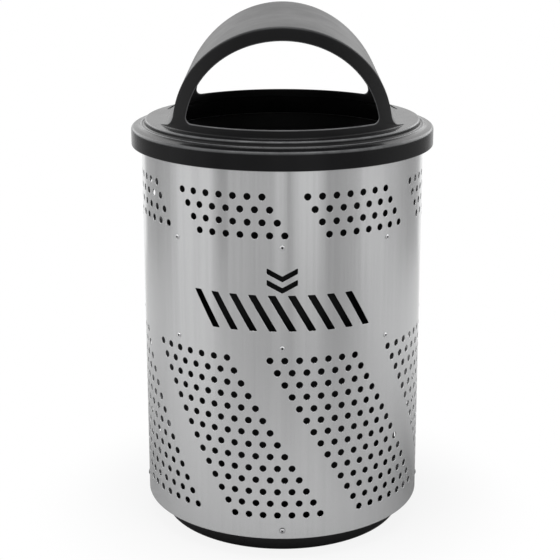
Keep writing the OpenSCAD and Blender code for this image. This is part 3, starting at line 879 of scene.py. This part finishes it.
                # The outer half of the lip gets painted edge highlight with rubbed wear
                ring.append(self.add(px, side * deep, pz, 0.0 if within else math.sin(2 * angle)))
            self.strip(previous, ring)
            previous = ring
        self.strip(previous, inner)

    def rim(self, outer, inner):
        """The round rim, from the outer skin's circle to the inner skin's."""
        previous = outer
        for radius, z, highlight_wear in lid_rim_profile():
            ring = []
            for vertex in outer:
                x, y, _ = self.points[vertex]
                scale = radius / math.hypot(x, y)
                ring.append(self.add(x * scale, y * scale, z, highlight_wear))
            self.strip(previous, ring)
            previous = ring
        self.strip(previous, inner)

    def ring(self, profile, segments):
        """A closed ring of a profile of (radius, height, share of painted edge highlight and rubbed wear)
        points.
        """
        rings = []
        for k in range(segments):
            x, y = math.cos(math.tau * k / segments), math.sin(math.tau * k / segments)
            rings.append([self.add(r * x, r * y, z, highlight_wear) for r, z, highlight_wear in profile])
        for k in range(segments):
            self.strip(rings[k], rings[(k + 1) % segments])


def locating_wall():
    """The wall that stands inside the liner, as (radius, height, share of painted edge highlight); its
    lower inner edge gets a painted glint.
    """
    inner, low, top = SPIGOT_R - LID_WALL, LID_SEAT_Z - SPIGOT_H, RING_Z - LID_WALL + 0.001
    return [
        (SPIGOT_R, top, 0.0), (inner, top, 0.0), (inner, low + INNER_BEVEL, 0.0),
        (inner + 0.0006, low + 0.0006, 1.0), (inner + INNER_BEVEL, low, 0.3),
        (SPIGOT_R - INNER_EDGE_R, low, 0.0), (SPIGOT_R, low + INNER_EDGE_R, 0.0)
    ]


def lid_hood(material):
    """The hooded lid: one hollow moulding with rounded edges and lips, and its locating wall."""
    mesh = LidMesh()
    outer_loops, outer_circle = mesh.skin(0.0, HOOD_EDGE_R, HOOD_FOOT_R)
    inner_loops, inner_circle = mesh.skin(LID_WALL, INNER_EDGE_R, INNER_EDGE_R)
    for side in SIDES:
        mesh.lip(side, outer_loops[side], inner_loops[side])
    mesh.rim(outer_circle, inner_circle)
    mesh.ring(locating_wall(), SPIGOT_SIDES)
    data = make_piece("hooded_lid", mesh.points, mesh.faces, material, "lid", "lid").data
    outwards = bmesh.new()
    outwards.from_mesh(data)
    bmesh.ops.recalc_face_normals(outwards, faces=outwards.faces)
    outwards.to_mesh(data)
    outwards.free()
    # Each point's share of the paler edge tone: painted edge highlight with rubbed wear
    data.attributes.new("highlight_wear", "FLOAT", "POINT").data.foreach_set("value", mesh.highlight_wear)
    data.set_sharp_from_angle(angle=LID_SHARP)


# Fasteners

FASTENER_SIDES = 28
FASTENER_SHARP = math.radians(50)
# From the middle of a fastener's outer end to the middle of its inner end, as (radius, height above the
# sheet, 1 where it is painted dark: painted shade in a hollow, and a painted shadow round the rim of a
# head)
RIVET_PROFILE = [
    (0.0, 0.0003, 1), (0.0018, 0.0003, 1), (0.0020, 0.0011, 1), (0.0021, 0.00165, 0),
    (0.0024, 0.0018, 0), (0.0029, 0.00174, 0), (0.0035, 0.0015, 0), (0.0040, 0.0011, 0),
    (0.0044, 0.0006, 0), (0.0045, 0.0003, 1), (0.0043, 0.0, 1), (0.0024, 0.0, 0),
    (0.0024, -0.0047, 0), (0.0031, -0.0048, 0), (0.0034, -0.0056, 0), (0.0033, -0.0066, 0),
    (0.0027, -0.0075, 0), (0.0016, -0.0077, 1), (0.0015, -0.0070, 1), (0.0, -0.0070, 1)
]
SCREW_R = 0.00575
SCREW_H = 0.0034
SCREW_RISE = 0.017
SCREW_COUNT = 4
SCREW_PROFILE = [
    (0.0, SCREW_H, 0), (0.0020, 0.00318, 0), (0.0030, 0.00290, 0), (0.0040, 0.00248, 0),
    (0.0051, 0.00184, 1), (0.0054, 0.00160, 1), (0.00568, 0.0012, 1), (SCREW_R, 0.0009, 1),
    (SCREW_R, 0.0005, 1), (0.0054, 0.0, 1), (0.0030, 0.0, 0), (0.0030, -0.0132, 0),
    (0.0026, -0.0136, 0), (0.0, -0.0136, 0)
]
RECESS_REACH = 0.0032
RECESS_W = 0.0008
RECESS_TAPER = [(0.7, SCREW_H - 0.0016), (1.15, SCREW_H + 0.001)]    # (share of that size, height)


def beside_axis(turn, z, along, up, height):
    """A point beside a fastener's axis: along the sheet, up, and out from the sheet."""
    return on_body(turn + along / BODY_R, z + up, BODY_R + height)


def turned_fasteners(name, count, z, profile, materials, node):
    """Fasteners turned about their own axes, square to the sheet; materials are (bright, dark), the dark
    one painted shade.
    """
    points, faces, shades = [], [], []
    for k in range(count):
        turn = math.tau * k / count
        rings = []
        for r, height, _ in profile:
            start, sides = len(points), FASTENER_SIDES if r else 1
            for j in range(sides):
                a = math.tau * (j + 0.3) / sides
                points.append(beside_axis(turn, z, r * math.cos(a), r * math.sin(a), height))
            rings.append([start + j % sides for j in range(FASTENER_SIDES)])
        for ring, next_ring, (_, _, dark) in zip(rings, rings[1:], profile):
            faces += [distinct((a, d, c, b)) for a, b, c, d in band(ring, next_ring)]
            shades += [dark] * FASTENER_SIDES
    piece = make_piece(name, points, faces, materials[0], "can", node)
    piece.data.materials.append(materials[1])
    piece.data.polygons.foreach_set("material_index", shades)
    piece.data.set_sharp_from_angle(angle=FASTENER_SHARP)
    return piece


def cut_recesses(screws, z, dark):
    """Cuts a tapered cross recess into the head of each screw; its walls take the dark material as painted
    shade.
    """
    reach, wide = RECESS_REACH, RECESS_W
    quarter = [(reach, -wide), (reach, wide), (wide, wide)]
    slant = math.sqrt(0.5)
    cross = []
    for _ in range(4):
        cross += [((x - y) * slant, (x + y) * slant) for x, y in quarter]
        quarter = [(-y, x) for x, y in quarter]
    points, faces, size = [], [], len(cross)
    for k in range(SCREW_COUNT):
        turn = math.tau * k / SCREW_COUNT
        start = len(points)
        for share, height in RECESS_TAPER:
            points += [beside_axis(turn, z, share * x, share * y, height) for x, y in cross]
        low = list(range(start, start + size))
        high = list(range(start + size, start + 2 * size))
        faces += [low[::-1], high, *band(low, high)]
    cutter = placed("cross_cutter", mesh_of("cross_cutter", points, faces, dark))
    recess = screws.modifiers.new("recess", "BOOLEAN")
    recess.object = cutter
    recess.operation = "DIFFERENCE"
    recess.solver = "EXACT"
    recess.material_mode = "TRANSFER"
    result = screws.evaluated_get(bpy.context.evaluated_depsgraph_get())
    screws.data = bpy.data.meshes.new_from_object(result)
    screws.modifiers.clear()
    bpy.data.objects.remove(cutter)


# Studio

# Levels of the studio by azimuth in degrees, from the camera towards the right: upright panels that stand
# as walls, and above them a ring of soft boxes
WALLS = [
    (-180, 1.40), (-158, 1.30), (-147, 0.56), (-120, 0.43), (-102, 0.54), (-92, 0.79), (-80, 0.84),
    (-72, 0.70), (-65, 0.83), (-59, 0.76), (-54, 0.47), (-47, 0.32), (-43, 0.58), (-30, 0.56),
    (-9, 0.54), (-3, 0.74), (1, 0.74), (5, 0.39), (9, 0.66), (15, 0.82), (28, 0.79), (33, 0.62),
    (37, 0.41), (62, 0.50), (68, 0.71), (84, 0.70), (102, 0.55), (120, 0.42), (134, 0.42), (147, 0.56),
    (162, 0.62), (178, 1.35)
]
SOFT_BOXES = [
    (-180, 1.50), (-168, 1.50), (-156, 2.90), (-112, 2.90), (-92, 2.60), (-60, 2.30), (-46, 1.10),
    (46, 1.10), (60, 2.40), (92, 2.80), (112, 3.40), (156, 3.40), (168, 1.50)
]
CEILING = 0.75
# How much of the white background stands there: it is behind the can, and grey panels stand elsewhere
BACKDROP = [(-180, 1.0), (-158, 1.0), (-147, 0.0), (147, 0.0), (158, 1.0)]
# Sines of the elevations between which the walls turn into the soft boxes, and these into the ceiling
BOXES_RISE = (0.05, 0.15)
CEILING_RISE = (0.48, 0.70)
# Tones of the floor by azimuth, near the can and away from it: painted shade of the can near it, darkest
# behind it, and painted bands of light and shade farther out
NEAR_FLOOR_PAINTED_SHADE = [
    (-180, 0.20), (-134, 0.25), (-116, 0.285), (-104, 0.30), (-90, 0.35), (-60, 0.426), (-30, 0.445),
    (0, 0.445), (30, 0.422), (60, 0.354), (75, 0.30), (90, 0.24), (104, 0.20), (116, 0.245), (134, 0.27)
]
FAR_FLOOR_PAINTED_LIGHT = [
    (-180, 0.50), (-109, 0.44), (-78, 0.51), (-58, 0.50), (-43, 0.40), (-20, 0.31), (-5, 0.305),
    (5, 0.28), (14, 0.325), (24, 0.33), (36, 0.295), (50, 0.31), (65, 0.38), (90, 0.475), (133, 0.50)
]
FLOOR_RINGS = (0.45, 0.8, 1.4, 2.2)
FLOOR_SIDES = 96
# Distances from the middle between which the floor turns from near to far, and its white to full
FAR_SPAN = (0.45, 1.35)
WHITE_SPAN = (0.26, 0.55)
WHITE_SHARES = (0.88, 1.0)
LAMP_PLACE = (0.0, -0.3, 2.9)
LAMP_AIM = (0.0, 0.0, 0.8)
LAMP_SIDE = 1.6
LAMP_POWER = 48.0


def studio_camera():
    data = bpy.data.cameras.new("camera")
    data.sensor_width = SENSOR_W
    data.lens = FOCAL_PX * SENSOR_W / FRAME_PX
    data.shift_x = (FRAME_PX / 2 - OPTICAL_PX[0]) / FRAME_PX
    data.shift_y = (OPTICAL_PX[1] - FRAME_PX / 2) / FRAME_PX
    data.clip_end = CLIP_END
    camera = placed("camera", data)
    camera.location = (0.0, -CAMERA_DISTANCE, CAMERA_HEIGHT)
    camera.rotation_euler = (math.pi / 2 - CAMERA_PITCH, 0.0, 0.0)
    bpy.context.scene.camera = camera


def by_azimuth(tree, vector, levels):
    """Grey levels by the azimuth of a vector, as stops of (degrees, level)."""
    along = axes(tree, vector)
    azimuth = calculated(tree, "ARCTAN2", along["X"], calculated(tree, "MULTIPLY", along["Y"], -1.0))
    share = calculated(tree, "MULTIPLY_ADD", azimuth, 0.5 / math.pi, 0.5)
    return ramp(tree, share, [(angle / 360 + 0.5, level) for angle, level in levels])


def white_seen(tree, backdrop):
    """How much of the white background a ray meets.

    The camera and what is seen through glass meet all of it. Light meets none. Metal mirrors it where
    backdrop says that it stands, behind the can.
    """
    rays = tree.nodes.new("ShaderNodeLightPath").outputs
    mirrored = calculated(tree, "MULTIPLY", rays["Is Glossy Ray"], backdrop)
    direct = calculated(tree, "MAXIMUM", rays["Is Camera Ray"], rays["Is Transmission Ray"])
    return calculated(tree, "MAXIMUM", direct, mirrored)


def mix_shaders(tree, share, first, second, out):
    """Mixes two shaders by share into a new output node."""
    mix = tree.nodes.new("ShaderNodeMixShader")
    feed(tree, mix, {0: share, 1: first.outputs[0], 2: second.outputs[0]})
    link(tree, mix.outputs[0], tree.nodes.new(out).inputs["Surface"])


def grey(level):
    return (level, level, level, 1.0)


def studio_world():
    """A white background, and for light and most mirror images soft upright panels all round."""
    world = bpy.data.worlds.new("studio")
    bpy.context.scene.world = world
    world.use_nodes = True
    tree = world.node_tree
    tree.nodes.clear()
    direction = coordinates(tree, "Generated")
    rise = axes(tree, direction)["Z"]
    boxes_share = spread(tree, rise, BOXES_RISE, way="SMOOTHSTEP")
    ceiling_share = spread(tree, rise, CEILING_RISE, way="SMOOTHSTEP")
    walls, boxes = (by_azimuth(tree, direction, levels) for levels in (WALLS, SOFT_BOXES))
    room = blended(tree, ceiling_share, blended(tree, boxes_share, walls, boxes), grey(CEILING))
    backdrop = blended(tree, boxes_share, by_azimuth(tree, direction, BACKDROP), grey(0.0))
    lit = tree.nodes.new("ShaderNodeBackground")
    link(tree, room, lit.inputs["Color"])
    white = tree.nodes.new("ShaderNodeBackground")
    white.inputs["Color"].default_value = grey(1.0)
    mix_shaders(tree, white_seen(tree, backdrop), lit, white, "ShaderNodeOutputWorld")


def overhead_lamp():
    data = bpy.data.lights.new("overhead", "AREA")
    data.size = LAMP_SIDE
    data.energy = LAMP_POWER
    lamp = placed("overhead", data)
    lamp.location = LAMP_PLACE
    lamp.rotation_mode = "QUATERNION"
    lamp.rotation_quaternion = (Vector(LAMP_AIM) - Vector(LAMP_PLACE)).to_track_quat("-Z", "Y")


def floor_mesh(material):
    """A disc: a fan of triangles and rings of quads round it."""
    points = [(0.0, 0.0, 0.0)]
    spokes = [math.tau * k / FLOOR_SIDES for k in range(FLOOR_SIDES)]
    for radius in FLOOR_RINGS:
        points += [(radius * math.cos(a), radius * math.sin(a), 0.0) for a in spokes]
    rings = [list(range(start, start + FLOOR_SIDES)) for start in range(1, len(points), FLOOR_SIDES)]
    faces = [(0, *edge) for edge in closed_edges(1, FLOOR_SIDES)]
    for near, far in zip(rings, rings[1:]):
        faces += band(far, near)
    return mesh_of("floor", points, faces, material)


def studio_floor():
    """A pale round floor that the camera sees as white, with the can's soft shadow; its tones paint shade
    near the can, darkest behind it, and bands of light farther out, for what the metal mirrors.
    """
    material = bpy.data.materials.new("pale_floor")
    material.use_nodes = True
    placed("floor", floor_mesh(material))
    tree = material.node_tree
    tree.nodes.clear()
    place = coordinates(tree, "Object")
    length = tree.nodes.new("ShaderNodeVectorMath")
    length.operation = "LENGTH"
    link(tree, place, length.inputs[0])
    distance = length.outputs["Value"]
    # Painted shade near the can and painted light and shade farther out, by azimuth
    near, far, backdrop = (by_azimuth(tree, place, levels) for levels in (NEAR_FLOOR_PAINTED_SHADE, FAR_FLOOR_PAINTED_LIGHT, BACKDROP))
    diffuse = tree.nodes.new("ShaderNodeBsdfDiffuse")
    link(tree, between(tree, spread(tree, distance, FAR_SPAN), near, far), diffuse.inputs["Color"])
    fade = spread(tree, distance, WHITE_SPAN, WHITE_SHARES, "SMOOTHSTEP")
    share = calculated(tree, "MULTIPLY", fade, white_seen(tree, backdrop))
    mix_shaders(tree, share, diffuse, tree.nodes.new("ShaderNodeEmission"), "ShaderNodeOutputMaterial")


# Assembly

def dress_cad_nodes():
    """Gives every CAD node that stays in view its finish, and returns the bright steel."""
    mill_steel = plain_steel("mill_steel", (0.50, 0.50, 0.51), roughness=0.50, spots=60.0)
    bright_steel = plain_steel("bright_fastener_steel", (0.62, 0.62, 0.63), roughness=0.34, spots=300.0)
    coated = black_plastic(
        "black_coated_pan", PAN_BLACK, roughness=0.30, gloss=0.26, grain_size=0.0012, depth=0.0001
    )
    moulded = black_plastic(
        "black_liner_plastic", LINER_BLACK, roughness=0.50, gloss=0.25, grain_size=0.0010, depth=0.00015
    )
    finishes = {
        "frame_steel": mill_steel, "fastener_steel": bright_steel,
        "base_black": coated, "liner_plastic": moulded
    }
    for part in frame["record"]["subparts"]:
        finish = finishes.get(part["material_slot"])
        if finish:
            materials = frame["nodes"][part["node"]].data.materials
            materials.clear()
            materials.append(finish)
    return bright_steel


body_sheet(brushed_sheet())
bright = dress_cad_nodes()
lid_hood(black_plastic(
    "black_lid_plastic", LID_BLACK, roughness=0.42, gloss=0.15, grain_size=0.0009, depth=0.0001,
    highlight_wear_tone=HIGHLIGHT_WEAR_TONE, smooth_below=RING_Z
))
# A near-black steel for painted shade in the rivets' hollows and the screws' recesses, and painted shadow
# round the rims of heads
painted_shade_steel = plain_steel("painted_shade_dark_steel", (0.012, 0.012, 0.013), roughness=0.60, spots=300.0)
for hoop, hoop_z in HOOP_ZS.items():
    turned_fasteners("blind_" + hoop, RIVET_COUNT, hoop_z, RIVET_PROFILE, (bright, painted_shade_steel), hoop)
screw_z = BODY_BOTTOM + SCREW_RISE
screws = turned_fasteners(
    "recessed_screws", SCREW_COUNT, screw_z, SCREW_PROFILE, (bright, painted_shade_steel), "body_screws"
)
cut_recesses(screws, screw_z, painted_shade_steel)

studio_camera()
studio_world()
studio_floor()
overhead_lamp()
bpy.context.scene.view_settings.view_transform = "Standard"
